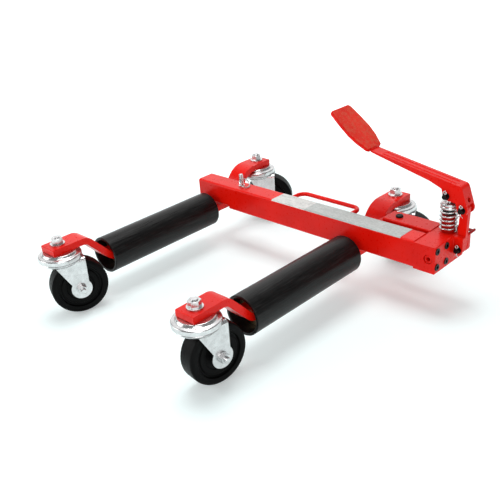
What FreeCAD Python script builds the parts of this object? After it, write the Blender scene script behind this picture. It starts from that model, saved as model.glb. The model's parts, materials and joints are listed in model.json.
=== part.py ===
import FreeCAD, Part
import math
import os

# Wheel dolly: two roller arms on a telescoping beam, closed by a foot pump, on four swivel casters.
# Frame: X runs along the beam towards the pump, rollers point to -Y, Z is up, the floor is Z = 0.
# The dolly is drawn closed, with its two rollers at their nearest spacing. Units are mm.

V = FreeCAD.Vector

# ---- driving dimensions ----
X_LEFT = -251.4                  # centre line of the left arm
ARM_SPACING = 352.0              # left arm to right arm, closed
X_RIGHT = X_LEFT + ARM_SPACING
BEAM_Y = 121.9                   # centre line of the beam
BEAM_Z = 107.0

ARM_WIDTH = 38.0
ARM_THICK = 12.0
PLATE_TOP = 135.0                # top face of the raised ends over the casters
BAR_TOP = 82.6                   # top face of the low run inside the rollers
FRONT_END = -283.6
REAR_END = 262.4
FRONT_STEM_Y = -262.1
REAR_STEM_Y = 242.0
FRONT_BEND_Y = -212.6
FRONT_SLOPE = 47.0
REAR_FOOT_Y = 153.4
REAR_SLOPE = 56.8
STEM_HOLE = 12.6

ROLLER_R = 34.0
ROLLER_BORE_R = 29.0
ROLLER_Y0 = -172.2
ROLLER_Y1 = 89.0
ROLLER_Z = BAR_TOP - ARM_THICK / 2
BUSH_INSET = 25.0
BUSH_LENGTH = 14.0
RUN_CLEAR = 0.08                 # radial clearance of every running fit

TUBE_DEPTH = 40.0
TUBE_HEIGHT = 48.0
TUBE_WALL = 3.0
TUBE_CORNER = 4.0
BEAM_X0 = X_LEFT - 33.0
BEAM_X1 = X_RIGHT + 128.0
NOTCH_X = X_LEFT + 51.0
NOTCH_HEIGHT = 8.0
SLIDE_GAP = 0.3
INNER_WALL = 2.5
INNER_LENGTH = 270.0

LOCK_X = X_LEFT + 72.0
LOCK_R = 4.0
LOCK_TOP = 156.0
LOCK_BOTTOM = 79.0
RING_HOLE_Z = 145.0
RING_HOLE_R = 1.9
RING_R = 11.0
RING_WIRE_R = 1.1

RAM_OUTER_R = 13.0
RAM_BORE_R = 10.0
RAM_LENGTH = 246.0
RAM_ROD_R = 6.0
GLAND_LENGTH = 18.0
PISTON_LENGTH = 15.0

BLOCK_LENGTH = 40.0
BLOCK_X1 = BEAM_X1 + BLOCK_LENGTH
BLOCK_Y0 = BEAM_Y - 20.5
BLOCK_Y1 = BEAM_Y + 70.5
BLOCK_Z0 = 82.0
BLOCK_TOP = 129.5
FLANGE_THICK = 8.0
SCREW_SPREAD = 14.0
SCREW_R = 3.5
SCREW_HEAD_R = 5.8
SCREW_POCKET = 6.5
RELIEF_R = 7.4
RELIEF_STEM_R = 4.8
EAR_TOP = 129.5

TANK_X0 = X_RIGHT + 33.0
TANK_Y0 = BEAM_Y + 29.5
TANK_Y1 = BEAM_Y + 67.5
TANK_Z0 = 83.0
BRIDGE_Z0 = 104.0                # clears the turning caster wheel
BRIDGE_Z1 = 120.0
TANK_TOP = 131.0
TANK_WALL = 2.5

PUMP_X = BEAM_X1 + 22.0
PUMP_Y = BEAM_Y + 48.5
PLUNGER_R = 6.5
PLUNGER_PIN_Z = 195.2
CUP_Z = 181.5
SPRING_COIL_R = 13.2
SPRING_WIRE_R = 1.55
SPRING_TURNS = 5.2
LINK_TOP_X = PUMP_X + 29.0
LINK_TOP_Z = 176.9
LINK_FOOT_X = PUMP_X + 26.3
LINK_FOOT_Z = 106.5
LINK_THICK = 8.4
LINK_WIDTH = 14.5
PIN_R = 4.0
COTTER_R = 0.9
LEVER_WIDTH = 24.0
LEVER_WALL = 3.0
PAD_LENGTH = 95.5
PAD_DEPTH = 3.8                  # folded rim of the foot plate
GRIP_THICK = 0.8
EYE_R = 8.2
EYE_HOLE_R = 4.7                 # the loose joint of the linkage

WHEEL_R = 50.8
WHEEL_WIDTH = 32.0
TRAIL = 23.0
AXLE_R = 5.0
FORK_HALF = 24.0
FORK_SHEET = 3.0
BOSS_R = 18.5
YOKE_Z0 = 105.0
YOKE_Z1 = 108.5
SKIRT_Z = 100.5                  # lower rim of the dished yoke, open over the wheel
RACE_R = 38.0
STEM_R = 6.0
CASTERS = {                      # arm centre, stem position and axle direction in degrees from +X
    "fl": (X_LEFT, FRONT_STEM_Y, -21.0),
    "fr": (X_RIGHT, FRONT_STEM_Y, -8.0),
    "rl": (X_LEFT, REAR_STEM_Y, -50.0),
    "rr": (X_RIGHT, REAR_STEM_Y, -62.0),
}


# ---- helpers ----
def box(x0, x1, y0, y1, z0, z1):
    return Part.makeBox(x1 - x0, y1 - y0, z1 - z0, V(x0, y0, z0))


def cylinder(radius, length, start, axis):
    return Part.makeCylinder(radius, length, V(*start), V(*axis))


def ring(outer, inner, length, start, axis):
    return cylinder(outer, length, start, axis).cut(cylinder(inner, length, start, axis))


def rounded_wire(points, radii, place):
    """Closed outline through 2-D points, each corner rounded by its own radius."""
    edges = []
    count = len(points)
    starts = []
    for i in range(count):
        here = V(points[i][0], points[i][1], 0)
        before = (V(points[i - 1][0], points[i - 1][1], 0) - here).normalize()
        after_point = points[(i + 1) % count]
        after = (V(after_point[0], after_point[1], 0) - here).normalize()
        radius = radii[i]
        if radius <= 0:
            starts.append((here, here, None))
            continue
        half = before.getAngle(after) / 2
        tangent = radius / math.tan(half)
        middle = (before + after).normalize()
        centre = here + middle * (radius / math.sin(half))
        starts.append((here + before * tangent, here + after * tangent, centre - middle * radius))
    for i in range(count):
        first, last, crown = starts[i]
        if crown is not None:
            edges.append(Part.Arc(place(first), place(crown), place(last)).toShape())
        following = starts[(i + 1) % count][0]
        if last.distanceToPoint(following) > 1e-6:
            edges.append(Part.makeLine(place(last), place(following)))
    return Part.Wire(edges)


def prism_yz(points, radii, x0, x1):
    wire = rounded_wire(points, radii, lambda p: V(x0, p.x, p.y))
    return Part.Face(wire).extrude(V(x1 - x0, 0, 0))


def prism_xz(points, radii, y0, y1):
    wire = rounded_wire(points, radii, lambda p: V(p.x, y0, p.y))
    return Part.Face(wire).extrude(V(0, y1 - y0, 0))


def prism_xy(points, radii, z0, z1):
    wire = rounded_wire(points, radii, lambda p: V(p.x, p.y, z0))
    return Part.Face(wire).extrude(V(0, 0, z1 - z0))


def turned(profile, centre):
    """Solid turned about the vertical line through centre; profile is (radius, height)."""
    points = [V(centre[0] + r, centre[1], centre[2] + h) for r, h in profile]
    face = Part.Face(Part.makePolygon(points + [points[0]]))
    return face.revolve(V(*centre), V(0, 0, 1), 360)


def rod_along(points, radius, bend):
    """Round rod swept along a bent centre line."""
    path = []
    last = V(*points[0])
    for i in range(1, len(points) - 1):
        corner = V(*points[i])
        back = (V(*points[i - 1]) - corner).normalize()
        ahead = (V(*points[i + 1]) - corner).normalize()
        half = back.getAngle(ahead) / 2
        tangent = bend / math.tan(half)
        middle = (back + ahead).normalize()
        centre = corner + middle * (bend / math.sin(half))
        path.append(Part.makeLine(last, corner + back * tangent))
        arc = Part.Arc(corner + back * tangent, centre - middle * bend, corner + ahead * tangent)
        path.append(arc.toShape())
        last = corner + ahead * tangent
    path.append(Part.makeLine(last, V(*points[-1])))
    direction = V(*points[1]) - V(*points[0])
    circle = Part.Wire(Part.Circle(V(*points[0]), direction, radius).toShape())
    return Part.Wire(path).makePipeShell([circle], True, True)


def hexagon(flats, height, centre):
    corner = flats / math.sqrt(3)
    points = [V(centre[0] + corner * math.cos(math.radians(60 * k)),
                centre[1] + corner * math.sin(math.radians(60 * k)), centre[2]) for k in range(7)]
    return Part.Face(Part.makePolygon(points)).extrude(V(0, 0, height))


def join(shapes):
    return shapes[0].fuse(shapes[1:]).removeSplitter()


# ---- arms, rollers and their bushings ----
def make_arm(x_centre):
    drop = PLATE_TOP - BAR_TOP
    front_foot = FRONT_BEND_Y + drop / math.tan(math.radians(FRONT_SLOPE))
    rear_head = REAR_FOOT_Y + drop / math.tan(math.radians(REAR_SLOPE))
    front_mitre = ARM_THICK * math.tan(math.radians(FRONT_SLOPE / 2))
    rear_mitre = ARM_THICK * math.tan(math.radians(REAR_SLOPE / 2))
    top = [(FRONT_END, PLATE_TOP), (FRONT_BEND_Y, PLATE_TOP), (front_foot, BAR_TOP),
           (REAR_FOOT_Y, BAR_TOP), (rear_head, PLATE_TOP), (REAR_END, PLATE_TOP)]
    under = [(REAR_END, PLATE_TOP - ARM_THICK), (rear_head + rear_mitre, PLATE_TOP - ARM_THICK),
             (REAR_FOOT_Y + rear_mitre, BAR_TOP - ARM_THICK),
             (front_foot - front_mitre, BAR_TOP - ARM_THICK),
             (FRONT_BEND_Y - front_mitre, PLATE_TOP - ARM_THICK), (FRONT_END, PLATE_TOP - ARM_THICK)]
    radii = [1.5, 26, 18, 18, 48, 1.5, 1.5, 36, 30, 30, 14, 1.5]
    bar = prism_yz(top + under, radii, x_centre - ARM_WIDTH / 2, x_centre + ARM_WIDTH / 2)
    for stem_y in (FRONT_STEM_Y, REAR_STEM_Y):
        bar = bar.cut(cylinder(STEM_HOLE / 2, 40, (x_centre, stem_y, PLATE_TOP - 30), (0, 0, 1)))
    return bar


def make_bushings(x_centre):
    discs = []
    slot = box(x_centre - ARM_WIDTH / 2, x_centre + ARM_WIDTH / 2, ROLLER_Y0, ROLLER_Y1,
               BAR_TOP - ARM_THICK, BAR_TOP)
    for y in (ROLLER_Y0 + BUSH_INSET, ROLLER_Y1 - BUSH_INSET - BUSH_LENGTH):
        disc = cylinder(ROLLER_BORE_R - RUN_CLEAR, BUSH_LENGTH, (x_centre, y, ROLLER_Z), (0, 1, 0))
        discs.append(disc.cut(slot))
    return Part.makeCompound(discs)


def make_roller(x_centre):
    length = ROLLER_Y1 - ROLLER_Y0
    tube = ring(ROLLER_R, ROLLER_BORE_R, length, (x_centre, ROLLER_Y0, ROLLER_Z), (0, 1, 0))
    ends = [edge for edge in tube.Edges if abs(edge.BoundBox.YLength) < 1e-6]
    tube = tube.makeFillet(1.2, ends)
    rib_width = 4.0
    inboard = BUSH_INSET + BUSH_LENGTH + 0.4
    for y in (ROLLER_Y0 + inboard, ROLLER_Y1 - inboard - rib_width):
        rib = ring(ROLLER_BORE_R + 1, ROLLER_BORE_R - 5, rib_width, (x_centre, y, ROLLER_Z), (0, 1, 0))
        tube = tube.fuse(rib)
    return tube.removeSplitter()


# ---- beam ----
def rectangle_tube(x0, x1, depth, height, wall, corner):
    def block(d, h, r):
        y, z = d / 2, h / 2
        points = [(BEAM_Y - y, BEAM_Z - z), (BEAM_Y + y, BEAM_Z - z),
                  (BEAM_Y + y, BEAM_Z + z), (BEAM_Y - y, BEAM_Z + z)]
        return prism_yz(points, [r] * 4, x0, x1)
    return block(depth, height, corner).cut(block(depth - 2 * wall, height - 2 * wall, corner - wall))


def make_main_tube():
    tube = rectangle_tube(BEAM_X0, BEAM_X1, TUBE_DEPTH, TUBE_HEIGHT, TUBE_WALL, TUBE_CORNER)
    low = BEAM_Z - TUBE_HEIGHT / 2
    notch = box(BEAM_X0 - 1, NOTCH_X, BEAM_Y - TUBE_DEPTH, BEAM_Y + TUBE_DEPTH, low - 1, low + NOTCH_HEIGHT)
    pin_way = cylinder(LOCK_R + RUN_CLEAR, TUBE_HEIGHT + 20, (LOCK_X, BEAM_Y, low - 10), (0, 0, 1))
    return tube.cut(notch).cut(pin_way)


def make_label(x0, x1):
    skin = 0.25
    cover = rectangle_tube(x0, x1, TUBE_DEPTH + 2 * skin, TUBE_HEIGHT + 2 * skin, skin, TUBE_CORNER + skin)
    top = BEAM_Z + TUBE_HEIGHT / 2
    return cover.common(box(x0, x1, BEAM_Y - 30, BEAM_Y + 30, top - 2.0, top + 1))


def make_carry_handle():
    back = BEAM_Y + TUBE_DEPTH / 2
    x0, x1 = X_LEFT + 182.0, X_LEFT + 320.0
    y, z = BEAM_Y + 56.5, 122.0
    return rod_along([(x0, back, z), (x0, y, z), (x1, y, z), (x1, back, z)], 4.0, 16.0)


def make_left_gusset():
    back = BEAM_Y + TUBE_DEPTH / 2
    slope = math.tan(math.radians(REAR_SLOPE))
    low, high = 93.0, 110.0
    points = [(back, low), (REAR_FOOT_Y + (low - BAR_TOP) / slope, low),
              (REAR_FOOT_Y + (high - BAR_TOP) / slope, high), (back, high)]
    return prism_yz(points, [0] * 4, X_LEFT - 14, X_LEFT + 14)


def make_inner_tube():
    depth = TUBE_DEPTH - 2 * TUBE_WALL - 2 * SLIDE_GAP
    height = TUBE_HEIGHT - 2 * TUBE_WALL - 2 * SLIDE_GAP
    return rectangle_tube(BEAM_X1 - INNER_LENGTH, BEAM_X1, depth, height, INNER_WALL, INNER_WALL + 0.5)


def make_tube_flange():
    half_y = BEAM_Y - BLOCK_Y0
    flange = box(BEAM_X1, BEAM_X1 + FLANGE_THICK, BLOCK_Y0, BEAM_Y + half_y, BLOCK_Z0, BLOCK_TOP)
    for y, z in screw_places():
        flange = flange.cut(cylinder(SCREW_R, 20, (BEAM_X1 - 5, y, z), (1, 0, 0)))
    return flange


def screw_places():
    middle = (BLOCK_Z0 + BLOCK_TOP) / 2 + 1.2
    return [(BEAM_Y + sy * SCREW_SPREAD, middle + sz * SCREW_SPREAD) for sy in (-1, 1) for sz in (-1, 1)]


# ---- ram inside the beam ----
def make_ram_cylinder():
    return ring(RAM_OUTER_R, RAM_BORE_R, RAM_LENGTH, (BEAM_X1 - RAM_LENGTH, BEAM_Y, BEAM_Z), (1, 0, 0))


def make_ram_gland():
    start = BEAM_X1 - RAM_LENGTH
    nose = ring(RAM_OUTER_R, RAM_ROD_R + RUN_CLEAR, 4, (start - 4, BEAM_Y, BEAM_Z), (1, 0, 0))
    plug = ring(RAM_BORE_R, RAM_ROD_R + RUN_CLEAR, GLAND_LENGTH, (start, BEAM_Y, BEAM_Z), (1, 0, 0))
    return join([nose, plug])


def make_ram_rod():
    eye = box(LOCK_X - 13, LOCK_X + 13, BEAM_Y - 11, BEAM_Y + 11, BEAM_Z - 9, BEAM_Z + 9)
    end = BEAM_X1 - 10
    rod = cylinder(RAM_ROD_R, end - LOCK_X, (LOCK_X, BEAM_Y, BEAM_Z), (1, 0, 0))
    pin_way = cylinder(LOCK_R + RUN_CLEAR, 40, (LOCK_X, BEAM_Y, BEAM_Z - 20), (0, 0, 1))
    return join([eye, rod]).cut(pin_way)


def make_ram_piston():
    """Piston and the seal ring in its groove."""
    start = BEAM_X1 - 10 - PISTON_LENGTH
    disc = ring(RAM_BORE_R - RUN_CLEAR, RAM_ROD_R, PISTON_LENGTH, (start, BEAM_Y, BEAM_Z), (1, 0, 0))
    groove = ring(RAM_BORE_R + 1, RAM_BORE_R - 2, 4, (start + 5.5, BEAM_Y, BEAM_Z), (1, 0, 0))
    seal = ring(RAM_BORE_R - RUN_CLEAR, RAM_BORE_R - 2, 3.8, (start + 5.6, BEAM_Y, BEAM_Z), (1, 0, 0))
    return Part.makeCompound([disc.cut(groove), seal])


def make_lock_pin():
    pin = cylinder(LOCK_R, LOCK_TOP - LOCK_BOTTOM, (LOCK_X, BEAM_Y, LOCK_BOTTOM), (0, 0, 1))
    rims = [edge for edge in pin.Edges if abs(edge.BoundBox.ZLength) < 1e-6]
    pin = pin.makeChamfer(0.8, rims)
    stop = cylinder(LOCK_R + 2, 2, (LOCK_X, BEAM_Y, BEAM_Z + TUBE_HEIGHT / 2 + 0.3), (0, 0, 1))
    cross = cylinder(RING_HOLE_R, 20, (LOCK_X, BEAM_Y - 10, RING_HOLE_Z), (0, 1, 0))
    return join([pin, stop]).cut(cross)


def make_pull_ring():
    """Ring through the pin, its far side lying just over the beam."""
    centre_gap = RING_R - 0.37
    rest_z = BEAM_Z + TUBE_HEIGHT / 2 + RING_WIRE_R + 0.3
    lean = math.asin((RING_HOLE_Z - rest_z) / (centre_gap + RING_R))
    centre = V(LOCK_X + centre_gap * math.cos(lean), BEAM_Y, RING_HOLE_Z - centre_gap * math.sin(lean))
    return Part.makeTorus(RING_R, RING_WIRE_R, centre, V(math.sin(lean), 0, math.cos(lean)))


# ---- valve block and tank ----
def make_valve_block():
    block = box(BEAM_X1, BLOCK_X1, BLOCK_Y0, BLOCK_Y1, BLOCK_Z0, BLOCK_TOP)
    block = block.makeFillet(1.5, [e for e in block.Edges if e.BoundBox.XMin > BEAM_X1 + 1])
    half_y = BEAM_Y - BLOCK_Y0
    flange_room = box(BEAM_X1 - 1, BEAM_X1 + FLANGE_THICK, BLOCK_Y0 - 1, BEAM_Y + half_y,
                      BLOCK_Z0 - 1, BLOCK_TOP + 1)
    cuts = [flange_room]
    for y, z in screw_places():
        cuts.append(cylinder(SCREW_R, BLOCK_LENGTH + 10, (BEAM_X1, y, z), (1, 0, 0)))
        cuts.append(cylinder(SCREW_HEAD_R + 0.2, 20, (BLOCK_X1 - SCREW_POCKET, y, z), (1, 0, 0)))
    cuts.append(cylinder(PLUNGER_R + RUN_CLEAR, 60, (PUMP_X, PUMP_Y, BLOCK_Z0 + 5), (0, 0, 1)))
    cuts.append(cylinder(RELIEF_R + 0.5, 3.5, (PUMP_X + 5, BLOCK_Y0, 106), (0, 1, 0)))
    cuts.append(cylinder(RELIEF_STEM_R, 16, (PUMP_X + 5, BLOCK_Y0, 106), (0, 1, 0)))
    cuts.append(cylinder(3.0 + RUN_CLEAR, 30, (PUMP_X + 12, PUMP_Y + 17, BLOCK_TOP - 20), (0, 0, 1)))
    return block.cut(cuts)


def make_block_screws():
    screws = []
    for y, z in screw_places():
        seat = BLOCK_X1 - SCREW_POCKET
        head = cylinder(SCREW_HEAD_R, 8, (seat, y, z), (1, 0, 0))
        shank = cylinder(SCREW_R, seat - BEAM_X1 - 1, (BEAM_X1 + 1, y, z), (1, 0, 0))
        socket = hexagon(5.5, 5, (0, 0, 0))
        socket.rotate(V(0, 0, 0), V(0, 1, 0), 90)
        socket.translate(V(seat + 4, y, z))
        screws.append(join([head, shank]).cut(socket))
    return Part.makeCompound(screws)


def make_relief_screw():
    x, y, z = PUMP_X + 5, BLOCK_Y0 + 1.2, 106
    head = cylinder(RELIEF_R, 2.3, (x, y, z), (0, 1, 0))
    head = head.makeChamfer(0.9, [e for e in head.Edges if e.BoundBox.YMax < y + 0.01])
    body = cylinder(RELIEF_STEM_R, 14, (x, y, z), (0, 1, 0))
    socket = hexagon(7, 9, (0, 0, 0))
    socket.rotate(V(0, 0, 0), V(1, 0, 0), -90)
    socket.translate(V(x, y, z))
    return join([head, body]).cut(socket)


def make_reservoir():
    tank = box(TANK_X0, BEAM_X1, TANK_Y0, TANK_Y1, TANK_Z0, TANK_TOP)
    edges = [e for e in tank.Edges if e.BoundBox.XLength > 10 or e.BoundBox.XMax < TANK_X0 + 1]
    tank = tank.makeFillet(2.0, edges)
    room = box(TANK_X0 + TANK_WALL, BEAM_X1 - TANK_WALL, TANK_Y0 + TANK_WALL, TANK_Y1 - TANK_WALL,
               TANK_Z0 + TANK_WALL, TANK_TOP - TANK_WALL)
    filler = cylinder(5, 10, (TANK_X0 + 23, PUMP_Y, TANK_TOP - 6), (0, 0, 1))
    return tank.cut([room, filler])


def make_filler_plug():
    x, z = TANK_X0 + 23, TANK_TOP
    head = turned([(0, 0), (6.5, 0), (6.5, 2.6), (5.4, 3.6), (0, 3.6)], (x, PUMP_Y, z))
    stem = cylinder(5, 6, (x, PUMP_Y, z - 6), (0, 0, 1))
    slot = box(x - 5, x + 5, PUMP_Y - 0.8, PUMP_Y + 0.8, z + 2, z + 5)
    return join([head, stem]).cut(slot)


def make_arm_bridge():
    return box(X_RIGHT + ARM_WIDTH / 2, TANK_X0, TANK_Y0 + 8, TANK_Y1 - 2, BRIDGE_Z0, BRIDGE_Z1)


# ---- foot pump ----
def make_pump_cylinder():
    x, y, z = PUMP_X, PUMP_Y, BLOCK_TOP
    profile = [(PLUNGER_R + RUN_CLEAR, 0), (11, 0), (11, 30.5), (10, 31.5), (PLUNGER_R + RUN_CLEAR, 31.5)]
    return turned(profile, (x, y, z))


def make_pump_seal():
    inner = PLUNGER_R + RUN_CLEAR
    profile = [(inner, 0), (10.5, 0), (10.5, 3.6), (9.6, 4.2), (9.6, 5.2), (8.6, 6.0), (inner, 6.0)]
    return turned(profile, (PUMP_X, PUMP_Y, BLOCK_TOP + 31.5))


def make_plunger():
    rod = cylinder(PLUNGER_R, PLUNGER_PIN_Z - 112, (PUMP_X, PUMP_Y, 112), (0, 0, 1))
    eye = cylinder(EYE_R, 12, (PUMP_X, PUMP_Y - 6, PLUNGER_PIN_Z), (0, 1, 0))
    hole = cylinder(EYE_HOLE_R, 30, (PUMP_X, PUMP_Y - 15, PLUNGER_PIN_Z), (0, 1, 0))
    return join([rod, eye]).cut(hole)


def make_spring_cup():
    """Turned cap whose rim presses on the spring and passes over the pump cylinder."""
    profile = [(PLUNGER_R, 0), (11.6, 0), (11.6, -10.3), (13.8, -10.3), (14.7, -9.2), (14.7, -6.6),
               (13.9, -5.4), (13.9, -4.8), (14.7, -3.6), (14.7, -0.8), (13.4, 0.7), (10, 1.5),
               (PLUNGER_R, 1.5)]
    return turned(profile, (PUMP_X, PUMP_Y, CUP_Z))


def make_return_spring():
    low = BLOCK_TOP + 0.3 + SPRING_WIRE_R
    high = CUP_Z - 10.5 - SPRING_WIRE_R
    helix = Part.makeHelix((high - low) / SPRING_TURNS, high - low, SPRING_COIL_R)
    section = Part.Wire(Part.Circle(V(SPRING_COIL_R, 0, 0), V(0, 1, 0), SPRING_WIRE_R).toShape())
    coil = helix.makePipeShell([section], True, True)
    coil.translate(V(PUMP_X, PUMP_Y, low))
    return coil


def make_ear_bracket():
    """Two ears welded to the end of the valve block, one on each side of the link."""
    outline = [(BLOCK_X1, 98.4), (LINK_FOOT_X + 8.1, 98.4), (LINK_FOOT_X + 8.1, EAR_TOP), (BLOCK_X1, EAR_TOP)]
    ears = []
    for y in (PUMP_Y - 12.5, PUMP_Y + 4.5):
        ear = prism_xz(outline, [0, 8.0, 3.0, 0], y, y + 8)
        ears.append(ear.cut(cylinder(PIN_R, 40, (LINK_FOOT_X, PUMP_Y - 20, LINK_FOOT_Z), (0, 1, 0))))
    return Part.makeCompound(ears)


def make_link_bar():
    lean = math.atan2(LINK_TOP_X - LINK_FOOT_X, LINK_TOP_Z - LINK_FOOT_Z)
    length = math.hypot(LINK_TOP_X - LINK_FOOT_X, LINK_TOP_Z - LINK_FOOT_Z)
    half = LINK_WIDTH / 2
    outline = [(-half, -half), (half, -half), (half, length + half), (-half, length + half)]
    bar = prism_xz(outline, [half - 0.5] * 4, -LINK_THICK / 2, LINK_THICK / 2)
    for z in (0, length):
        bar = bar.cut(cylinder(PIN_R + RUN_CLEAR, 20, (0, -10, z), (0, 1, 0)))
    bar.rotate(V(0, 0, 0), V(0, 1, 0), math.degrees(lean))
    bar.translate(V(LINK_FOOT_X, PUMP_Y, LINK_FOOT_Z))
    return bar


def make_pin(x, z, half_width):
    """Headed pin along Y with a washer at its front end."""
    head = cylinder(6, 3, (x, PUMP_Y + half_width, z), (0, 1, 0))
    shank = cylinder(PIN_R, 2 * half_width + 7, (x, PUMP_Y - half_width - 7, z), (0, 1, 0))
    washer = cylinder(6, 1.6, (x, PUMP_Y - half_width - 1.7, z), (0, 1, 0))
    cross = cylinder(COTTER_R + 0.1, 20, (x, PUMP_Y - half_width - 4.4, z - 10), (0, 0, 1))
    return join([head, shank, washer]).cut(cross)


def make_cotter(x, z, half_width):
    """Cotter pin with its round eye on top and two legs spread below."""
    y = PUMP_Y - half_width - 4.4
    shank = cylinder(COTTER_R, 13, (x, y, z - 7.5), (0, 0, 1))
    eye = Part.makeTorus(2.3, COTTER_R, V(x, y, z + 7.6), V(0, 1, 0))
    foot = V(x, y, z - 7.2)
    legs = [cylinder(COTTER_R * 0.7, 5.5, tuple(foot), (side * 0.8, 0, -0.6)) for side in (-1, 1)]
    return join([shank, eye] + legs)


def make_pedal_lever():
    y0, y1 = PUMP_Y - LEVER_WIDTH / 2, PUMP_Y + LEVER_WIDTH / 2
    offsets = [(-147.5, 246.0, 0), (26, 216, 7), (39.2, 177.5, 9), (36, 167.6, 8), (22, 167.6, 8),
               (17, 186.5, 3), (3, 188.0, 2), (-5.5, 190.5, 3), (-9, 206.0, 4), (-31, 214.8, 12),
               (-132, 239.4, 4), (-146, 243.0, 0)]
    outline = [(PUMP_X + dx, z) for dx, z, r in offsets]
    radii = [r for dx, z, r in offsets]
    channel = prism_xz(outline, radii, y0, y1)
    under = [(PUMP_X - 160, 245.1), (PUMP_X + 23.7, 213.4), (PUMP_X + 36.0, 177.0),
             (PUMP_X + 36.0, 150), (PUMP_X - 160, 150)]
    channel = channel.cut(prism_xz(under, [0, 5, 0, 0, 0], y0 + LEVER_WALL, y1 - LEVER_WALL))
    link_room = box(PUMP_X + 15, PUMP_X + 45, y0 + LEVER_WALL, y1 - LEVER_WALL, 160, 185.5)
    channel = channel.cut(link_room)
    for x, z in ((PUMP_X, PLUNGER_PIN_Z), (LINK_TOP_X, LINK_TOP_Z)):
        channel = channel.cut(cylinder(PIN_R, 60, (x, PUMP_Y - 30, z), (0, 1, 0)))
    wall_lean = math.radians(19)
    wall_axis = (math.cos(wall_lean), 0, math.sin(wall_lean))
    channel = channel.cut(cylinder(4.2, 20, (PUMP_X + 22, PUMP_Y, 188.5), wall_axis))
    top_slope = math.atan2(246.0 - 216, 173.5)
    along = (-math.cos(top_slope), 0, math.sin(top_slope))
    for side in (-1, 1):
        start = V(PUMP_X + 12, PUMP_Y + side * 5.5, 218.0)
        bead = cylinder(1.7, 140, tuple(start), along)
        caps = [Part.makeSphere(1.7, start), Part.makeSphere(1.7, start + V(*along) * 140)]
        channel = channel.fuse([bead] + caps)
    return channel.removeSplitter()


def pad_shape(inset, low, high):
    """Foot plate outline lying on the sloping plane of the pad."""
    half = [(0.0, 15.0), (3.0, 20.0), (23.0, 27.2), (41.0, 30.2), (66.0, 29.6), (PAD_LENGTH, 26.5)]
    sides = [(u, v - inset) for u, v in half]
    sides[0] = (inset, sides[0][1])
    sides[-1] = (PAD_LENGTH - inset, sides[-1][1])
    outline = sides + [(u, -v) for u, v in reversed(sides)]
    radii = [0, 2.5, 30, 30, 30, 6.5, 6.5, 30, 30, 30, 2.5, 0]
    plate = prism_xy(outline, radii, low, high)
    plate.rotate(V(0, 0, 0), V(0, 0, 1), 180)
    plate.rotate(V(0, 0, 0), V(0, 1, 0), 38.6)
    plate.translate(V(PUMP_X - 145.5, PUMP_Y, 247.0))
    return plate


def make_pedal_plate():
    rim = pad_shape(0, -PAD_DEPTH, 0.0).cut(pad_shape(2.2, -8.0, -2.0))
    clear = box(PUMP_X - 147.6, PUMP_X, PUMP_Y - 30, PUMP_Y + 30, 200, 300)
    return rim.cut(clear)


def make_pedal_grip():
    beyond_pad = box(PUMP_X - 147.6, PUMP_X, PUMP_Y - 30, PUMP_Y + 30, 200, 300)
    return pad_shape(2.0, 0.0, GRIP_THICK).cut(beyond_pad)


def make_release_lever():
    x, y, z = PUMP_X + 12, PUMP_Y + 17, BLOCK_TOP
    spindle = cylinder(3.0, 22, (x, y, z - 16), (0, 0, 1))
    hub = cylinder(4.0, 6, (x, y, z + 0.4), (0, 0, 1))
    arm = cylinder(2.4, 24, (x, y, z + 3.4), (1, 0, 0))
    end = V(x + 24, y, z + 3.4)
    bar = cylinder(2.4, 14, (end.x, PUMP_Y + 7, end.z), (0, 1, 0))
    caps = [Part.makeSphere(2.4, V(end.x, PUMP_Y + reach, end.z)) for reach in (7, 21)]
    return join([spindle, hub, arm, bar] + caps)


# ---- casters, drawn with the swivel axis on the Z axis and the trail along +Y ----
def make_stem(place):
    head = cylinder(10, 3.2, (0, 0, 101.5), (0, 0, 1))
    shank = cylinder(STEM_R, 46, (0, 0, 103.5), (0, 0, 1))
    shank = shank.makeChamfer(1.2, [e for e in shank.Edges if e.BoundBox.ZMin > 149])
    return placed(join([head, shank]), place)


def make_stem_nut(place):
    washer = ring(13, STEM_R, 2.5, (0, 0, PLATE_TOP), (0, 0, 1))
    nut = hexagon(18, 10, (0, 0, PLATE_TOP + 2.5))
    crown = turned([(0, 0), (9.6, 0), (10.4, 0.6), (10.4, 9.4), (9.3, 10), (0, 10)], (0, 0, PLATE_TOP + 2.5))
    nut = nut.common(crown).cut(cylinder(STEM_R, 20, (0, 0, PLATE_TOP), (0, 0, 1)))
    return [placed(washer, place), placed(nut, place)]


def make_race(place):
    profile = [(STEM_R + 0.3, 115.1), (35.5, 115.1), (35.5, 109.5), (RACE_R, 109.5), (RACE_R, 115.5),
               (37.2, 117.2), (35.4, 118.2), (32.4, 118.6), (31, 119.4), (30, 121.8), (28.4, 123),
               (STEM_R + 0.3, 123)]
    return placed(turned(profile, (0, 0, 0)), place)


def make_balls(place):
    count = 16
    balls = []
    for k in range(count):
        angle = 2 * math.pi * k / count
        balls.append(Part.makeSphere(3.0, V(27 * math.cos(angle), 27 * math.sin(angle), 111.8)))
    return [placed(ball, place) for ball in balls]


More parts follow.
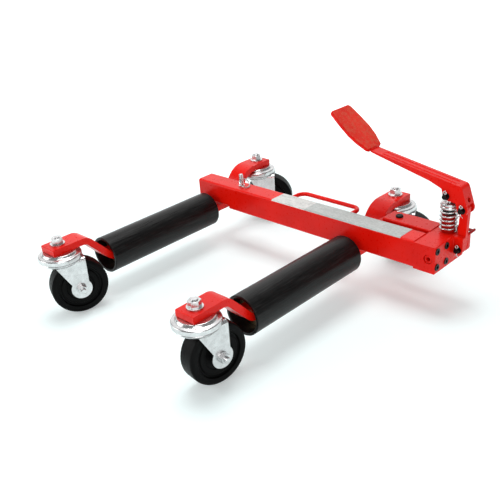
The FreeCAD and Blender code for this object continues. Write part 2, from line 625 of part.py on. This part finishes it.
def make_fork(place):
    """Bent channel whose two legs taper to a round boss at the axle, under a skirted round yoke."""
    def channel(half, top, corner):
        outline = [(-half, 0), (half, 0), (half, top), (-half, top)]
        return prism_xz(outline, [0, 0, corner, corner], -60, 60)
    inside = FORK_HALF - FORK_SHEET
    fork = channel(FORK_HALF, YOKE_Z1, 7).cut(channel(inside, YOKE_Z0, 4))
    slanted = [(-20, YOKE_Z1 + 1), (38, YOKE_Z1 + 1), (TRAIL + 14.5, 58), (TRAIL - 5, 42)]
    leg = prism_yz(slanted, [0, 0, 0, 0], -40, 40)
    boss = cylinder(BOSS_R, 80, (-40, TRAIL, WHEEL_R), (1, 0, 0))
    fork = fork.common(leg.fuse(boss))
    dish = [(0, YOKE_Z0), (30, YOKE_Z0), (31.4, YOKE_Z0 - 1), (27.6, SKIRT_Z), (30, SKIRT_Z),
            (34.4, YOKE_Z0 - 0.6), (35.2, YOKE_Z0 + 1.5), (33.8, YOKE_Z1), (0, YOKE_Z1)]
    yoke = turned(dish, (0, 0, 0)).cut(box(-inside, inside, -8, 60, 0, YOKE_Z0))
    fork = join([fork, yoke])
    fork = fork.cut(cylinder(STEM_R + RUN_CLEAR, 20, (0, 0, 100), (0, 0, 1)))
    axle_way = cylinder(AXLE_R, 80, (-40, TRAIL, WHEEL_R), (1, 0, 0))
    return placed(fork.cut(axle_way), place)


def make_axle(place):
    """Bolt with a hexagon head at one end and a washer and nut at the other."""
    half = FORK_HALF
    shank = cylinder(AXLE_R, 2 * half + 14, (-half - 1, TRAIL, WHEEL_R), (1, 0, 0))
    shank = shank.makeChamfer(1.2, [e for e in shank.Edges if e.BoundBox.XMin > half + 11])
    parts = [shank]
    for start in (-half - 1.6, half):
        parts.append(cylinder(9.5, 1.6, (start, TRAIL, WHEEL_R), (1, 0, 0)))
    for start, length in ((-half - 7.1, 5.5), (half + 1.6, 7)):
        nut = hexagon(15, length, (0, 0, 0))
        nut.rotate(V(0, 0, 0), V(0, 1, 0), 90)
        nut.translate(V(start, TRAIL, WHEEL_R))
        parts.append(nut)
    return placed(join(parts), place)


def make_wheel(place):
    half = WHEEL_WIDTH / 2
    bore = AXLE_R + RUN_CLEAR
    hub_half = FORK_HALF - FORK_SHEET - 0.5
    side = [(bore, hub_half), (14, hub_half), (15, half - 4), (24, half - 4), (25, half - 2.2),
            (33, half - 2.2), (34, half - 4.4), (38, half - 4.4), (39, half - 0.6), (44.5, half),
            (48.2, half - 0.8), (50.2, half - 2.6), (WHEEL_R, half - 5)]
    profile = side + [(r, -s) for r, s in reversed(side)]
    wheel = turned(profile, (0, 0, 0))
    wheel.rotate(V(0, 0, 0), V(0, 1, 0), 90)
    wheel.translate(V(0, TRAIL, WHEEL_R))
    return placed(wheel, place)


def placed(shape, place):
    x, y, angle = place
    copy = shape.copy()
    copy.rotate(V(0, 0, 0), V(0, 0, 1), angle)
    copy.translate(V(x, y, 0))
    return copy


# ---- every node of the assembly ----
NODES = {
    "main_tube": make_main_tube(),
    "left_arm": make_arm(X_LEFT),
    "left_arm_gusset": make_left_gusset(),
    "left_roller_bushings": make_bushings(X_LEFT),
    "left_roller": make_roller(X_LEFT),
    "carry_handle": make_carry_handle(),
    "label_white": make_label(X_LEFT + 169, X_LEFT + 250),
    "label_grey": make_label(X_LEFT + 250, X_LEFT + 454),
    "ram_rod": make_ram_rod(),
    "ram_piston": make_ram_piston(),
    "lock_pin": make_lock_pin(),
    "pull_ring": make_pull_ring(),
    "inner_tube": make_inner_tube(),
    "tube_flange": make_tube_flange(),
    "ram_cylinder": make_ram_cylinder(),
    "ram_gland": make_ram_gland(),
    "valve_block": make_valve_block(),
    "block_screws": make_block_screws(),
    "relief_screw": make_relief_screw(),
    "reservoir": make_reservoir(),
    "filler_plug": make_filler_plug(),
    "arm_bridge": make_arm_bridge(),
    "right_arm": make_arm(X_RIGHT),
    "right_roller_bushings": make_bushings(X_RIGHT),
    "right_roller": make_roller(X_RIGHT),
    "pump_cylinder": make_pump_cylinder(),
    "pump_seal": make_pump_seal(),
    "pump_plunger": make_plunger(),
    "spring_cup": make_spring_cup(),
    "return_spring": make_return_spring(),
    "ear_bracket": make_ear_bracket(),
    "link_bar": make_link_bar(),
    "link_foot_pin": make_pin(LINK_FOOT_X, LINK_FOOT_Z, 12.5),
    "link_foot_cotter": make_cotter(LINK_FOOT_X, LINK_FOOT_Z, 12.5),
    "lever_pins": Part.makeCompound([make_pin(LINK_TOP_X, LINK_TOP_Z, 12),
                                     make_pin(PUMP_X, PLUNGER_PIN_Z, 12)]),
    "lever_pin_cotters": Part.makeCompound([make_cotter(LINK_TOP_X, LINK_TOP_Z, 12),
                                            make_cotter(PUMP_X, PLUNGER_PIN_Z, 12)]),
    "pedal_lever": make_pedal_lever(),
    "pedal_plate": make_pedal_plate(),
    "pedal_grip": make_pedal_grip(),
    "release_lever": make_release_lever(),
}

for side, names in (("left", ("fl", "rl")), ("right", ("fr", "rr"))):
    places = [CASTERS[name] for name in names]
    NODES[side + "_stems"] = Part.makeCompound([make_stem(place) for place in places])
    NODES[side + "_stem_nuts"] = Part.makeCompound([s for place in places for s in make_stem_nut(place)])
    NODES[side + "_races"] = Part.makeCompound([make_race(place) for place in places])
    NODES[side + "_race_balls"] = Part.makeCompound([ball for place in places for ball in make_balls(place)])

for name, place in CASTERS.items():
    NODES["caster_" + name + "_fork"] = make_fork(place)
    NODES["caster_" + name + "_axle"] = make_axle(place)
    NODES["caster_" + name + "_wheel"] = make_wheel(place)

os.makedirs("parts", exist_ok=True)
for node, shape in NODES.items():
    shape.exportStep("parts/" + node + ".step")
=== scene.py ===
import json
import math
import random

import bmesh
import bpy
from mathutils import Matrix, Vector


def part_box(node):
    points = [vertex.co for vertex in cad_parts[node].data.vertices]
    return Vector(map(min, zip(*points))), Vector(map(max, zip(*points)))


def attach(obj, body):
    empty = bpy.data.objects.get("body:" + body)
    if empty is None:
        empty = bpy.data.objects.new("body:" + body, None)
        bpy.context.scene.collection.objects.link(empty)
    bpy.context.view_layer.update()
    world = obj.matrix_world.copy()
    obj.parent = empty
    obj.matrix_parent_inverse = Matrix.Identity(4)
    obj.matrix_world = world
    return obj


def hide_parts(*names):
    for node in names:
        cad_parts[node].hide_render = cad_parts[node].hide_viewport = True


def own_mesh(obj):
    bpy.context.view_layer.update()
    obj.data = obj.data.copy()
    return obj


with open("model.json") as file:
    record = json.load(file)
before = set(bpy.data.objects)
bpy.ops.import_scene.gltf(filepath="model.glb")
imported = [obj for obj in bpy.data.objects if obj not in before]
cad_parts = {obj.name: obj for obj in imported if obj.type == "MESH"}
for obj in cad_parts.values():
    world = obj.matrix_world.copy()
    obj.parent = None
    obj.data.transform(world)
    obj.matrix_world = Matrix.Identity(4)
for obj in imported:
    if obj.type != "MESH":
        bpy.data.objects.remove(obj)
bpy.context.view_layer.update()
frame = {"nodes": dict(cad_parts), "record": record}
NODES = frame["nodes"]
RECORD = frame["record"]
SLOT_OF = {part["node"]: part["material_slot"] for part in RECORD["subparts"]}
MM = 0.001
ARM_LEAN = 56.8                  # slope of the rear arm ends, in degrees


# ---- material helpers ----
class Nodes:
    """Short way to add and link shader nodes in one material."""

    def __init__(self, name):
        self.material = bpy.data.materials.new(name)
        self.material.use_nodes = True
        self.tree = self.material.node_tree
        self.shader = self.tree.nodes["Principled BSDF"]
        self.coords = self.tree.nodes.new("ShaderNodeTexCoord").outputs["Object"]

    def add(self, kind, inputs=None, **settings):
        """New node; each input is a value, or a socket to link from."""
        node = self.tree.nodes.new(kind)
        for key, value in settings.items():
            setattr(node, key, value)
        for key, value in (inputs or {}).items():
            if isinstance(value, bpy.types.NodeSocket):
                self.tree.links.new(value, node.inputs[key])
            else:
                node.inputs[key].default_value = value
        return node

    def stretched(self, scale):
        """Coordinates scaled per axis; below 1 draws a pattern out along that axis."""
        return self.add("ShaderNodeMapping", {"Vector": self.coords, "Scale": scale}).outputs["Vector"]

    def noise(self, size_mm, detail=4.0, rough=0.5, vector=None):
        """Noise whose blotches are about size_mm across."""
        inputs = {"Vector": vector or self.coords, "Scale": 1.0 / (size_mm * MM), "Detail": detail,
                  "Roughness": rough}
        return self.add("ShaderNodeTexNoise", inputs).outputs["Fac"]

    def ramp(self, factor, stops):
        """Colour ramp through (position, colour) stops."""
        node = self.add("ShaderNodeValToRGB", {"Fac": factor})
        elements = node.color_ramp.elements
        elements[0].position, elements[0].color = stops[0][0], stops[0][1]
        elements[1].position, elements[1].color = stops[-1][0], stops[-1][1]
        for place, colour in stops[1:-1]:
            elements.new(place).color = colour
        return node.outputs["Color"]

    def span(self, factor, low, high, start=0.3, end=0.7):
        """Maps factor from start..end to low..high."""
        inputs = {"Value": factor, "From Min": start, "From Max": end, "To Min": low, "To Max": high}
        return self.add("ShaderNodeMapRange", inputs).outputs["Result"]

    def mix(self, factor, first, second, blend="MIX"):
        node = self.add("ShaderNodeMix", data_type="RGBA", blend_type=blend)
        for key, value in ((0, factor), (6, first), (7, second)):
            if isinstance(value, bpy.types.NodeSocket):
                self.tree.links.new(value, node.inputs[key])
            else:
                node.inputs[key].default_value = value
        return node.outputs[2]

    def bump(self, layers):
        """Layers are (height socket, depth in mm), each laid over the one before."""
        normal = None
        for height, depth in layers:
            inputs = {"Height": height, "Strength": 1.0, "Distance": depth * MM}
            if normal is not None:
                inputs["Normal"] = normal
            normal = self.add("ShaderNodeBump", inputs).outputs["Normal"]
        self.tree.links.new(normal, self.shader.inputs["Normal"])

    def set(self, **values):
        """Shader inputs by name, with _ for a space; each is a value or a socket."""
        for key, value in values.items():
            socket = self.shader.inputs[key.replace("_", " ")]
            if isinstance(value, bpy.types.NodeSocket):
                self.tree.links.new(value, socket)
            else:
                socket.default_value = value


def grey(value):
    return (value, value, value, 1.0)


# ---- materials ----
def paint(name, deep, bright, grit=0.0):
    """Sprayed enamel: soft colour drift and orange peel."""
    m = Nodes(name)
    colour = m.ramp(m.noise(55, 3), [(0.3, deep), (0.7, bright)])
    gloss = m.span(m.noise(6, 4, 0.6), 0.25, 0.36)
    layers = [(m.noise(2.4, 2), 0.022), (m.noise(16, 2), 0.09)]
    if grit:
        cells = m.add("ShaderNodeTexVoronoi", {"Vector": m.coords, "Scale": 1.0 / (1.7 * MM)}, feature="F1")
        grains = m.span(cells.outputs["Distance"], 1.0, 0.0, 0.1, 0.55)
        blotch = m.noise(7, 3, 0.6)
        layers = [(grains, grit), (m.noise(1.1, 3), grit * 0.4)]
        worn = (bright[0] * 0.72, bright[1] * 4, bright[2] * 4, 1)
        colour = m.mix(m.span(blotch, 0.0, 0.5, 0.42, 0.62), colour, worn)
        gloss = 0.5
    m.set(Base_Color=colour, Roughness=gloss, Specular_IOR_Level=0.15)
    m.set(Coat_Weight=0.05, Coat_Roughness=0.12)
    m.bump(layers)
    return m.material


def satin_black(name):
    """Black tube, turned: fine marks run round it, wear runs along it."""
    m = Nodes(name)
    streaks = m.noise(2.4, 6, 0.7, m.stretched((1.0, 0.05, 1.0)))
    scuffs = m.noise(26, 6, 0.65)
    colour = m.ramp(scuffs, [(0.35, grey(0.0020)), (0.75, grey(0.0045))])
    worn = m.span(streaks, 0.0, 0.75, 0.50, 0.68)
    colour = m.mix(worn, colour, grey(0.019))
    m.set(Base_Color=colour, Roughness=m.span(streaks, 0.24, 0.46), Coat_Weight=0.0, Specular_IOR_Level=0.2)
    m.bump([(streaks, 0.13), (m.noise(0.8, 2), 0.012)])
    return m.material


def metal(name, low, high, rough, streak=(1.0, 1.0, 1.0), tint=(1.0, 1.0, 1.0), blotch=0.0):
    """Bare or plated steel or bronze, with fine grain and, if asked, darker spots."""
    m = Nodes(name)
    cloud = m.noise(13, 5, 0.6)
    grain = m.noise(0.7, 4, 0.6, m.stretched(streak))
    stops = [(0.3, (low * tint[0], low * tint[1], low * tint[2], 1.0)),
             (0.72, (high * tint[0], high * tint[1], high * tint[2], 1.0))]
    colour = m.ramp(cloud, stops)
    if blotch:
        spots = m.span(m.noise(3.2, 4, 0.6), 0.0, blotch, 0.58, 0.72)
        colour = m.mix(spots, colour, (low * 0.55, low * 0.53, low * 0.5, 1.0))
    m.set(Base_Color=colour, Metallic=1.0, Roughness=m.span(grain, rough * 0.75, rough * 1.3))
    m.bump([(grain, 0.012), (m.noise(7, 3), 0.05)])
    return m.material


def rubber(name, base, level=0.2):
    """Black rubber or plastic with a little dust in its tone."""
    m = Nodes(name)
    dust = m.noise(18, 6, 0.65)
    colour = m.ramp(dust, [(0.4, grey(base)), (0.8, grey(base * 2.2))])
    m.set(Base_Color=colour, Roughness=m.span(m.noise(4, 4), 0.36, 0.55), Specular_IOR_Level=level)
    m.bump([(m.noise(0.9, 3), 0.03), (m.noise(9, 2), 0.06)])
    return m.material


def vinyl(name, low, high, dark, share):
    """Printed film: rows of soft tone with no lettering, under a satin face."""
    m = Nodes(name)
    row_inputs = {"Vector": m.coords, "Scale": 62.0, "Distortion": 2.2, "Detail": 3.0, "Detail Scale": 4.0}
    rows = m.add("ShaderNodeTexWave", row_inputs, wave_type="BANDS", bands_direction="Y").outputs["Fac"]
    broken = m.noise(2.2, 5, 0.7, m.stretched((0.45, 1.0, 1.0)))
    blocks = m.noise(17, 2, 0.5, m.stretched((1.0, 1.6, 1.0)))
    colour = m.ramp(broken, [(0.38, low), (0.62, high)])
    in_row = m.span(rows, 0.0, 1.0, 0.45, 0.8)
    in_dash = m.span(broken, 0.0, 1.0, 0.42, 0.6)
    in_block = m.span(blocks, 0.0, share, 0.40, 0.58)
    ink = m.add("ShaderNodeMath", {0: in_row, 1: in_dash}, operation="MULTIPLY").outputs[0]
    ink = m.add("ShaderNodeMath", {0: ink, 1: in_block}, operation="MULTIPLY").outputs[0]
    colour = m.mix(ink, colour, dark)
    m.set(Base_Color=colour, Roughness=m.span(m.noise(8, 2), 0.34, 0.46), Specular_IOR_Level=0.35)
    m.bump([(m.noise(22, 2), 0.05), (m.noise(1.2, 2), 0.008)])
    return m.material


WHITE_FILM = ((0.53, 0.535, 0.515, 1), (0.67, 0.67, 0.645, 1), (0.16, 0.18, 0.18, 1))
GREY_FILM = ((0.34, 0.37, 0.355, 1), (0.50, 0.53, 0.515, 1), (0.20, 0.22, 0.22, 1))
MATERIALS = {
    "red_paint": paint("red_paint", (0.64, 0.0042, 0.0010, 1), (0.75, 0.0068, 0.0020, 1)),
    "grip_sheet": paint("grip_sheet", (0.60, 0.014, 0.006, 1), (0.74, 0.024, 0.012, 1), grit=0.35),
    "dark_red_paint": paint("dark_red_paint", (0.30, 0.003, 0.002, 1), (0.40, 0.005, 0.003, 1)),
    "black_roller": satin_black("black_roller"),
    "zinc_steel": metal("zinc_steel", 0.52, 0.72, 0.24, tint=(1.0, 1.0, 1.005), blotch=0.4),
    "dark_steel": metal("dark_steel", 0.012, 0.03, 0.34),
    "chrome_steel": metal("chrome_steel", 0.72, 0.82, 0.10, streak=(1.0, 1.0, 14.0)),
    "bare_steel": metal("bare_steel", 0.36, 0.5, 0.3, streak=(0.05, 1.0, 1.0)),
    "black_tread": rubber("black_tread", 0.0016, 0.07),
    "black_plastic": rubber("black_plastic", 0.004),
    "bronze_bush": metal("bronze_bush", 0.5, 0.62, 0.32, tint=(1.0, 0.72, 0.42)),
    "label_white": vinyl("label_white", *WHITE_FILM, 0.75),
    "label_grey": vinyl("label_grey", *GREY_FILM, 0.5),
}
USUAL_EDGE_MM = 0.5
EDGE_MM = {"label_white": 0.0, "label_grey": 0.0, "pull_ring": 0.0, "return_spring": 0.0,
           "left_race_balls": 0.0, "right_race_balls": 0.0, "carry_handle": 0.0, "link_bar": 0.0,
           "left_arm": 1.1, "right_arm": 1.1, "pedal_lever": 0.9, "valve_block": 0.8, "main_tube": 0.8}


def dress(name, obj):
    """Give a CAD node its material and soften its edges with modifiers."""
    obj.data.materials.clear()
    obj.data.materials.append(MATERIALS[SLOT_OF[name]])
    width = EDGE_MM.get(name, USUAL_EDGE_MM)
    weld = obj.modifiers.new("Weld", "WELD")
    weld.merge_threshold = 0.01 * MM
    if width:
        bevel = obj.modifiers.new("Edges", "BEVEL")
        bevel.width = width * MM
        bevel.segments = 3
        bevel.limit_method = "ANGLE"
        bevel.angle_limit = math.radians(32)
        bevel.use_clamp_overlap = True
    normals = obj.modifiers.new("Normals", "WEIGHTED_NORMAL")
    normals.keep_sharp = True
    normals.weight = 60


for node_name, node_object in NODES.items():
    dress(node_name, node_object)


# ---- weld beads ----
BEAD_STEP = 0.7 * MM
BEAD_SIDES = 10
RIPPLE = 2.6 * MM                # length of one ripple
HANDLE_RING = 4.5 * MM           # radius of the bead round each handle foot
SEAM_INSET = 1 * MM              # a bead stops this far short of an edge
ARM_SEAM_START = 19.5 * MM       # where the arm's top starts to follow the bridge
PAD_SEAM_HALF = 10 * MM


def walk(points, closed):
    """Evenly spaced places along a path of straight runs."""
    runs = list(zip(points, points[1:] + points[:1])) if closed else list(zip(points, points[1:]))
    places = []
    for start, end in runs:
        count = max(1, round((end - start).length / BEAD_STEP))
        places += [start.lerp(end, k / count) for k in range(count)]
    return places if closed else places + [points[-1]]


def skin(name, verts, count, sides, closed, material):
    """Smooth tube through rings of vertices, capped at its ends unless it closes on itself."""
    faces = []
    for k in range(count if closed else count - 1):
        for j in range(sides):
            a, b = k * sides, (k + 1) % count * sides
            faces.append((a + j, a + (j + 1) % sides, b + (j + 1) % sides, b + j))
    if not closed:
        faces.append(tuple(range(sides))[::-1])
        faces.append(tuple((count - 1) * sides + j for j in range(sides)))
    mesh = bpy.data.meshes.new(name)
    mesh.from_pydata(verts, [], faces)
    work = bmesh.new()
    work.from_mesh(mesh)
    bmesh.ops.recalc_face_normals(work, faces=work.faces)
    work.to_mesh(mesh)
    work.free()
    for face in mesh.polygons:
        face.use_smooth = True
    mesh.materials.append(material)
    obj = bpy.data.objects.new(name, mesh)
    bpy.context.scene.collection.objects.link(obj)
    return obj


def bead(name, points, radius_mm, body, closed=False):
    """Rippled weld bead along a path, its crown rising and falling once per ripple."""
    places = walk([Vector(p) for p in points], closed)
    count = len(places)
    rng = random.Random(name)
    verts = []
    travelled = 0.0
    for k, place in enumerate(places):
        ahead = places[(k + 1) % count] if closed or k + 1 < count else place
        behind = places[k - 1] if closed or k else place
        way = (ahead - behind).normalized()
        side = way.orthogonal().normalized()
        over = way.cross(side)
        travelled += (place - behind).length
        scallop = abs(math.sin(math.pi * travelled / RIPPLE))
        end_fade = 1.0 if closed else min(1.0, 0.35 + 0.65 * min(k, count - 1 - k) / 3)
        size = radius_mm * MM * (0.86 + 0.16 * scallop) * end_fade * rng.uniform(0.96, 1.04)
        for j in range(BEAD_SIDES):
            angle = 2 * math.pi * j / BEAD_SIDES
            verts.append(place + (side * math.cos(angle) + over * math.sin(angle)) * size)
    obj = skin(name, verts, count, BEAD_SIDES, closed, MATERIALS["red_paint"])
    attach(obj, body)


def build_welds():
    """Beads where the real pieces are welded, placed from the CAD boxes of the joined nodes."""
    tube_low, tube_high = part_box("main_tube")
    handle_low, handle_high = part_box("carry_handle")
    rod = (handle_high.z - handle_low.z) / 2
    for label, x in (("a", handle_low.x + rod), ("b", handle_high.x - rod)):
        z = handle_low.z + rod
        ring = [(x + HANDLE_RING * math.cos(t), tube_high.y + 0.3 * MM, z + HANDLE_RING * math.sin(t))
                for t in (math.tau * k / 24 for k in range(24))]
        bead("weld_handle_" + label, ring, radius_mm=1.5, body="frame", closed=True)
    arm_low, arm_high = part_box("left_arm")
    seam_z = tube_low.z + 0.9 * MM
    for label, y in (("front", tube_low.y + 1.2 * MM), ("back", tube_high.y - 1.2 * MM)):
        ends = [(arm_low.x + 1.5 * MM, y, seam_z), (arm_high.x - 1.5 * MM, y, seam_z)]
        bead("weld_left_arm_" + label, ends, radius_mm=1.9, body="frame")
    low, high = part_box("left_arm_gusset")
    lean = (high.z - low.z) / math.tan(math.radians(ARM_LEAN))
    for label, x in (("a", low.x), ("b", high.x)):
        upright = [(x, tube_high.y, low.z), (x, tube_high.y, high.z)]
        leaning = [(x, high.y - lean, low.z), (x, high.y, high.z)]
        bead("weld_gusset_tube_" + label, upright, radius_mm=1.6, body="frame")
        bead("weld_gusset_arm_" + label, leaning, radius_mm=1.5, body="frame")
    low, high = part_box("arm_bridge")
    tank_seam = [(high.x, low.y + SEAM_INSET, high.z), (high.x, high.y - SEAM_INSET, high.z)]
    arm_seam = [(low.x, low.y + ARM_SEAM_START, high.z), (low.x, high.y, high.z)]
    bead("weld_bridge_tank", tank_seam, radius_mm=1.6, body="slider")
    bead("weld_bridge_arm", arm_seam, radius_mm=1.6, body="slider")
    low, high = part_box("ear_bracket")
    for label, y in (("front", low.y), ("back", high.y)):
        seam = [(low.x, y, low.z + SEAM_INSET), (low.x, y, high.z - SEAM_INSET)]
        bead("weld_ear_" + label, seam, radius_mm=1.4, body="slider")
    plate_low, plate_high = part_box("pedal_plate")
    middle = (plate_low.y + plate_high.y) / 2
    lever_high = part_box("pedal_lever")[1]
    x, z = plate_high.x + 0.3 * MM, lever_high.z + 0.2 * MM
    pad_seam = [(x, middle - PAD_SEAM_HALF, z), (x, middle + PAD_SEAM_HALF, z)]
    bead("weld_pad", pad_seam, radius_mm=1.5, body="pedal")


build_welds()


# ---- return spring ----
SPRING_TURNS = 5.2
WIRE_RADIUS = 1.55 * MM
STEPS_PER_TURN = 48
WIRE_SIDES = 16


def build_spring():
    """The CAD spring's own coil, built again and carried by the slider."""
    low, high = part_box("return_spring")
    centre = (low + high) / 2
    reach = (high.x - low.x) / 2 - WIRE_RADIUS
    rise = high.z - low.z - 2 * WIRE_RADIUS
    upward = Vector((0, 0, 1))
    count = round(SPRING_TURNS * STEPS_PER_TURN) + 1
    verts = []
    for k in range(count):
        share = k / (count - 1)
        turn = math.tau * SPRING_TURNS * share
        out = Vector((math.cos(turn), math.sin(turn), 0))
        place = Vector((centre.x, centre.y, low.z + WIRE_RADIUS + rise * share)) + out * reach
        for j in range(WIRE_SIDES):
            angle = math.tau * j / WIRE_SIDES
            verts.append(place + (out * math.cos(angle) + upward * math.sin(angle)) * WIRE_RADIUS)
    material = SLOT_OF["return_spring"]
    obj = skin("coil_spring", verts, count, WIRE_SIDES, False, MATERIALS[material])
    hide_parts("return_spring")
    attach(obj, "slider")
    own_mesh(obj)


build_spring()


# ---- stage: floor, light and camera ----
BACKDROP_WAY = (-0.66, 0.64, 0.40)     # towards the bright wall across from the camera
WALL_LIGHT = 1.25
ROOM_LIGHT = 0.27
WALL_EDGE, WALL_CORE = 0.55, 0.93      # cosines where the wall's light starts and is full
FLOOR_GLOW = 0.30                      # painted glow of the floor under the dolly; it rises to 1 further out
GLOW_FROM, GLOW_TO = 0.40, 1.5         # metres from the middle over which it rises
LAMP_TARGET = (0.0, 0.0, 0.08)
LAMPS = {                              # place and size in metres, power in watts
    "overhead": ((-0.22, 0.10, 1.8), 0.9, 19),
    "key_left": ((-1.4, -1.5, 0.9), 1.2, 15),
    "fill_right": ((1.5, -1.3, 0.8), 1.2, 13),
}
FLOOR_HALF = 6.0
FLOOR_TONES = [(0.3, (0.69, 0.80, 0.80, 1)), (0.7, (0.71, 0.82, 0.82, 1))]


def build_floor():
    """White sheet with a painted glow, weakest under the dolly and full further out, so that it fades into
    the background.
    """
    mesh = bpy.data.meshes.new("floor")
    half = FLOOR_HALF
    corners = [(-half, -half, 0), (half, -half, 0), (half, half, 0), (-half, half, 0)]
    mesh.from_pydata(corners, [], [(0, 1, 2, 3)])
    floor = bpy.data.objects.new("floor", mesh)
    bpy.context.scene.collection.objects.link(floor)
    m = Nodes("floor_white_glow")
    reach = m.add("ShaderNodeVectorMath", {0: m.coords}, operation="LENGTH").outputs["Value"]
    fade = {"Value": reach, "From Min": GLOW_FROM, "From Max": GLOW_TO, "To Min": FLOOR_GLOW, "To Max": 1.0}
    glow = m.add("ShaderNodeMapRange", fade, interpolation_type="SMOOTHSTEP").outputs["Result"]
    tone = m.ramp(m.noise(400, 3), FLOOR_TONES)
    m.set(Base_Color=tone, Roughness=0.8, Specular_IOR_Level=0.1)
    # painted glow: the floor shines by emission, weakest under the dolly and rising to full further out
    m.set(Emission_Color=grey(1.0), Emission_Strength=glow)
    mesh.materials.append(m.material)


def add_area(name, place, target, size, power):
    data = bpy.data.lights.new(name, "AREA")
    data.energy = power
    data.size = size
    lamp = bpy.data.objects.new(name, data)
    lamp.location = place
    lamp.rotation_euler = (Vector(target) - Vector(place)).to_track_quat("-Z", "Y").to_euler()
    bpy.context.scene.collection.objects.link(lamp)


def build_world():
    """Dim room with one bright wall; the camera itself sees plain white."""
    world = bpy.data.worlds.new("studio")
    world.use_nodes = True
    tree = world.node_tree
    way = tree.nodes.new("ShaderNodeTexCoord").outputs["Generated"]
    facing = tree.nodes.new("ShaderNodeVectorMath")
    facing.operation = "DOT_PRODUCT"
    facing.inputs[1].default_value = Vector(BACKDROP_WAY).normalized()
    tree.links.new(way, facing.inputs[0])
    room = tree.nodes.new("ShaderNodeMapRange")
    room.interpolation_type = "SMOOTHSTEP"
    room.inputs["From Min"].default_value = WALL_EDGE
    room.inputs["From Max"].default_value = WALL_CORE
    room.inputs["To Min"].default_value = ROOM_LIGHT
    room.inputs["To Max"].default_value = WALL_LIGHT
    tree.links.new(facing.outputs["Value"], room.inputs["Value"])
    seen = tree.nodes.new("ShaderNodeLightPath").outputs["Is Camera Ray"]
    strength = tree.nodes.new("ShaderNodeMix")
    strength.inputs[3].default_value = 1.0
    tree.links.new(seen, strength.inputs[0])
    tree.links.new(room.outputs["Result"], strength.inputs[2])
    background = tree.nodes["Background"]
    background.inputs["Color"].default_value = grey(1.0)
    tree.links.new(strength.outputs[0], background.inputs["Strength"])
    bpy.context.scene.world = world


def build_lights():
    for name, (place, size, power) in LAMPS.items():
        add_area(name, place, LAMP_TARGET, size, power)


CAMERA_AZIMUTH = 46.087
CAMERA_ELEVATION = 26.304
CAMERA_ROLL = -4.664
CAMERA_DISTANCE = 1.31257
CAMERA_TARGET = Vector((-0.0472, -0.0164, 0.080))
FOCAL_RATIO = 1.465972           # focal length over sensor width
SENSOR_MM = 36.0
CAMERA_SHIFT = (0.0138, 0.0030)


def build_camera():
    """Camera that orbits the target, leaned by its roll."""
    a, e, r = (math.radians(v) for v in (CAMERA_AZIMUTH, CAMERA_ELEVATION, CAMERA_ROLL))
    back = Vector((math.sin(a) * math.cos(e), -math.cos(a) * math.cos(e), math.sin(e)))
    right = Vector((0, 0, 1)).cross(back).normalized()
    up = back.cross(right)
    tilted = right * math.cos(r) + up * math.sin(r)
    upright = back.cross(tilted)
    data = bpy.data.cameras.new("camera")
    data.sensor_width = SENSOR_MM
    data.lens = FOCAL_RATIO * SENSOR_MM
    data.shift_x = CAMERA_SHIFT[0]
    data.shift_y = CAMERA_SHIFT[1]
    data.clip_start = 0.05
    data.clip_end = 40
    camera = bpy.data.objects.new("camera", data)
    place = CAMERA_TARGET + back * CAMERA_DISTANCE
    axes = Matrix((tilted, upright, back)).transposed()
    camera.matrix_world = Matrix.Translation(place) @ axes.to_4x4()
    bpy.context.scene.collection.objects.link(camera)
    bpy.context.scene.camera = camera


build_floor()
build_world()
build_lights()
build_camera()
bpy.context.scene.view_settings.view_transform = "Standard"
